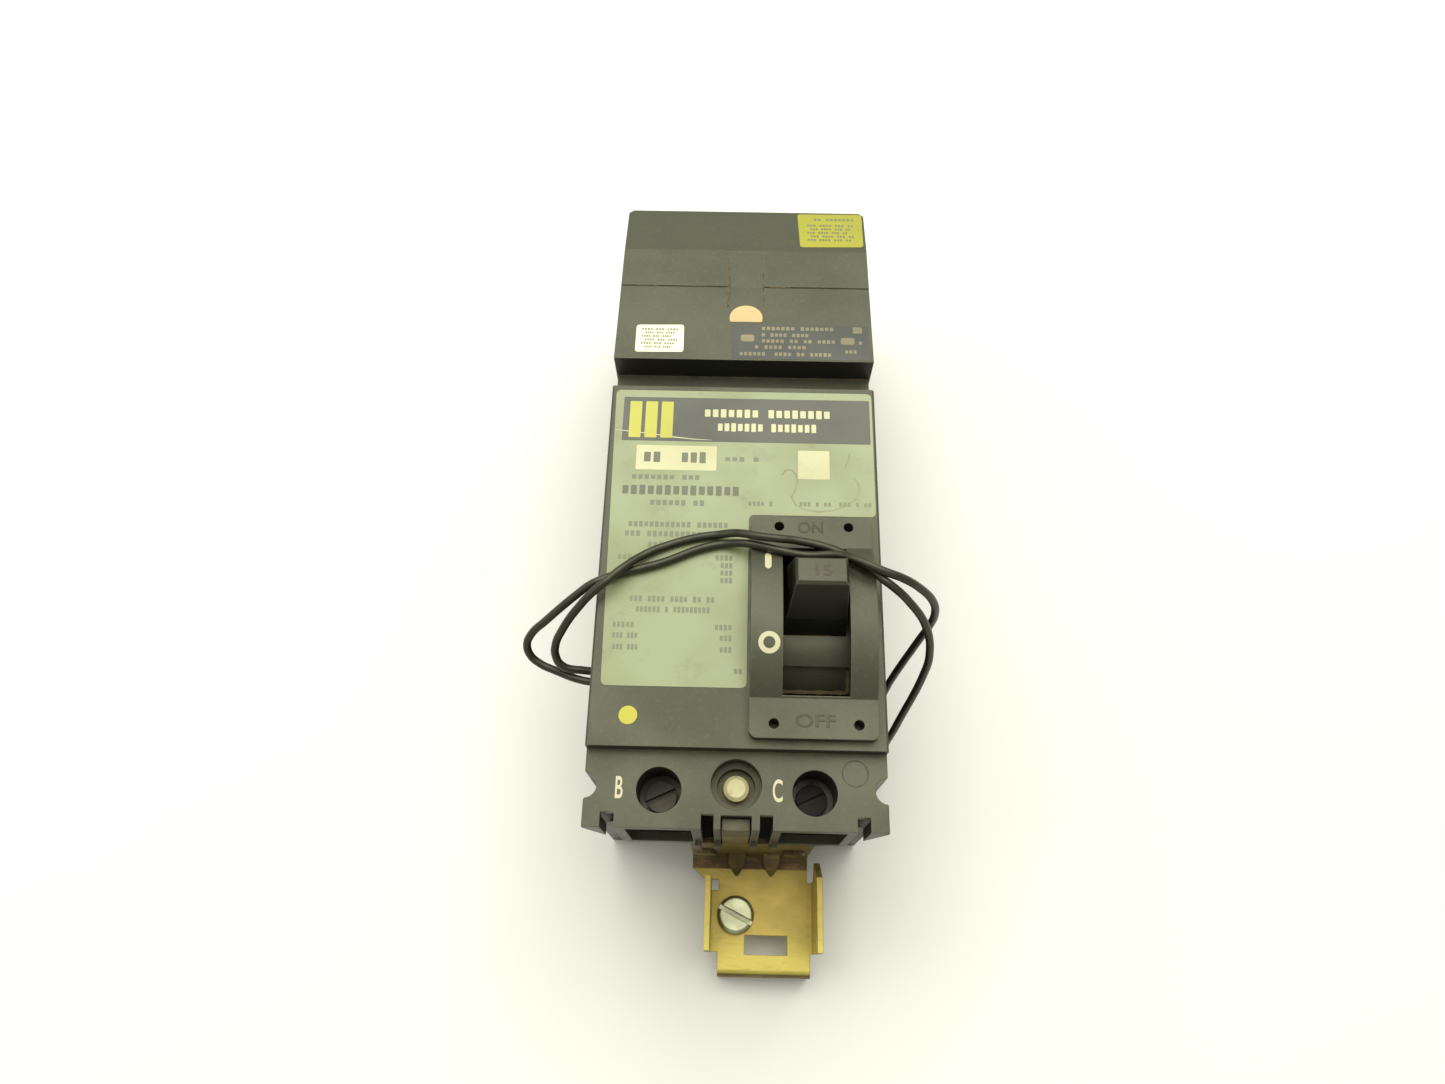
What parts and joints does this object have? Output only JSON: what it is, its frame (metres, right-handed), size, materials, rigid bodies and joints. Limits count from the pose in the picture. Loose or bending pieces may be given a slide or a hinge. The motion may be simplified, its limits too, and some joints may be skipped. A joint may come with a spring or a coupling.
{
  "type": "molded case breaker",
  "caption": "Plug-on molded case circuit breaker with slotted line end, toggle handle, screw lugs, shunt trip leads and a load-end bracket.",
  "frame": {"origin": "centre of the footprint of the case and its bracket, at the back of the case", "axes": "+X across the face to the right, +Y towards the line end with the bus-bar slots, +Z out of the face with the handle"},
  "size_m": [0.1116, 0.2351, 0.0911],
  "materials": {
    "case_plastic": "moulded thermoset, satin",
    "line_block_plastic": "moulded thermoset, satin",
    "handle_plastic": "moulded plastic, semi-matt",
    "shield_plastic": "thin plastic, matt and dusty",
    "phenolic": "moulded phenolic",
    "copper": "plain copper strip",
    "contact_silver": "silver alloy contact",
    "plate_steel": "plated sheet steel",
    "spring_steel": "spring steel",
    "screw_steel": "plated steel, turned",
    "lug_screw_steel": "dull oiled steel",
    "lug_metal": "tin-plated extrusion",
    "fibre": "vulcanised fibre sheet",
    "bimetal_strip": "rolled bimetal",
    "adjuster_brass": "turned brass",
    "coil_tape": "taped winding",
    "rubber_bush": "soft rubber",
    "lead_insulation": "satin insulation",
    "rivet_cap": "cream lacquer",
    "zinc_yellow": "yellow-passivated zinc plate"
  },
  "bodies": {
    "case": {"case_base": "case_plastic", "case_cover": "case_plastic", "rear_line_block": "line_block_plastic", "front_line_block": "line_block_plastic", "case_screws": "screw_steel", "centre_rivet": "rivet_cap", "jaw_b": "copper", "jaw_c": "copper", "jaw_springs": "spring_steel", "jaw_rivets": "copper", "line_strap_b": "copper", "line_strap_c": "copper", "fixed_contact_b": "contact_silver", "fixed_contact_c": "contact_silver", "arc_plates_b": "plate_steel", "arc_plates_c": "plate_steel", "arc_cheeks_b": "fibre", "arc_cheeks_c": "fibre", "mechanism_frame": "plate_steel", "pivot_pin": "spring_steel", "handle_spring": "spring_steel", "latch_pin": "spring_steel", "load_strap_b": "copper", "load_strap_c": "copper", "bimetal_b": "bimetal_strip", "bimetal_c": "bimetal_strip", "magnet_b": "plate_steel", "magnet_c": "plate_steel", "calibration_screws": "adjuster_brass", "braid_b": "copper", "braid_c": "copper", "lug_b": "lug_metal", "lug_c": "lug_metal", "shunt_frame": "plate_steel", "shunt_coil": "coil_tape", "plunger_spring": "spring_steel", "lead_grommet": "rubber_bush", "bracket": "zinc_yellow", "bracket_rivets": "zinc_yellow", "lead_1": "lead_insulation", "lead_2": "lead_insulation"},
    "crossbar": {"crossbar": "phenolic", "contact_arm_b": "copper", "contact_arm_c": "copper", "moving_contacts": "contact_silver", "contact_springs": "spring_steel", "lower_link_pin": "spring_steel"},
    "handle": {"handle": "handle_plastic", "dust_shield": "shield_plastic", "upper_link_pin": "spring_steel"},
    "links": {"drive_links": "plate_steel"},
    "trip_bar": {"trip_bar": "phenolic"},
    "latch_lever": {"latch_lever": "plate_steel"},
    "armature_b": {"armature_b": "plate_steel"},
    "armature_c": {"armature_c": "plate_steel"},
    "lug_screw_b": {"lug_screw_b": "lug_screw_steel"},
    "lug_screw_c": {"lug_screw_c": "lug_screw_steel"},
    "plunger": {"plunger": "screw_steel"},
    "bracket_screw": {"bracket_screw": "screw_steel"}
  },
  "joints": [
    {"name": "handle_pivot", "type": "hinge", "parent": "case", "child": "handle", "pos_m": [0.0195, -0.0285, 0.045], "axis": [1, 0, 0], "range_deg": [0, 28]},
    {"name": "crossbar_pivot", "type": "hinge", "parent": "case", "child": "crossbar", "pos_m": [0, -0.022, 0.02], "axis": [1, 0, 0], "range_deg": [0, 28]},
    {"name": "link_pivot", "type": "hinge", "parent": "handle", "child": "links", "pos_m": [0.0195, -0.03723, 0.04718], "axis": [1, 0, 0], "range_deg": [-28, 0]},
    {"name": "trip_bar_pivot", "type": "hinge", "parent": "case", "child": "trip_bar", "pos_m": [0, -0.047, 0.054], "axis": [1, 0, 0], "range_deg": [0, 10], "stiffness_Nm_per_rad": 0.02, "springref_deg": -5.73},
    {"name": "latch_pivot", "type": "hinge", "parent": "case", "child": "latch_lever", "pos_m": [0.0321, -0.036, 0.034], "axis": [1, 0, 0], "range_deg": [0, 8], "stiffness_Nm_per_rad": 0.02, "springref_deg": -5.73},
    {"name": "armature_b_pivot", "type": "hinge", "parent": "case", "child": "armature_b", "pos_m": [-0.019, -0.04875, 0.038], "axis": [-1, 0, 0], "range_deg": [0, 6], "stiffness_Nm_per_rad": 0.01, "springref_deg": -5.73},
    {"name": "armature_c_pivot", "type": "hinge", "parent": "case", "child": "armature_c", "pos_m": [0.0195, -0.04875, 0.038], "axis": [-1, 0, 0], "range_deg": [0, 6], "stiffness_Nm_per_rad": 0.01, "springref_deg": -5.73},
    {"name": "plunger_slide", "type": "slide", "parent": "case", "child": "plunger", "axis": [0, -1, 0], "range_m": [0, 0.0015], "stiffness_N_per_m": 150, "springref_m": -0.002},
    {"name": "lug_screw_b_turn", "type": "hinge", "parent": "case", "child": "lug_screw_b", "pos_m": [-0.019, -0.0708, 0.06], "axis": [0, 0, 1], "continuous": true},
    {"name": "lug_screw_c_turn", "type": "hinge", "parent": "case", "child": "lug_screw_c", "pos_m": [0.0195, -0.0708, 0.059], "axis": [0, 0, 1], "continuous": true},
    {"name": "bracket_screw_turn", "type": "hinge", "parent": "case", "child": "bracket_screw", "pos_m": [0.0009, -0.0964, 0.012], "axis": [0, 0, 1], "continuous": true}
  ],
  "couplings": [
    {"joint": "crossbar_pivot", "follows": "handle_pivot", "ratio": 1},
    {"joint": "link_pivot", "follows": "handle_pivot", "ratio": -1}
  ]
}
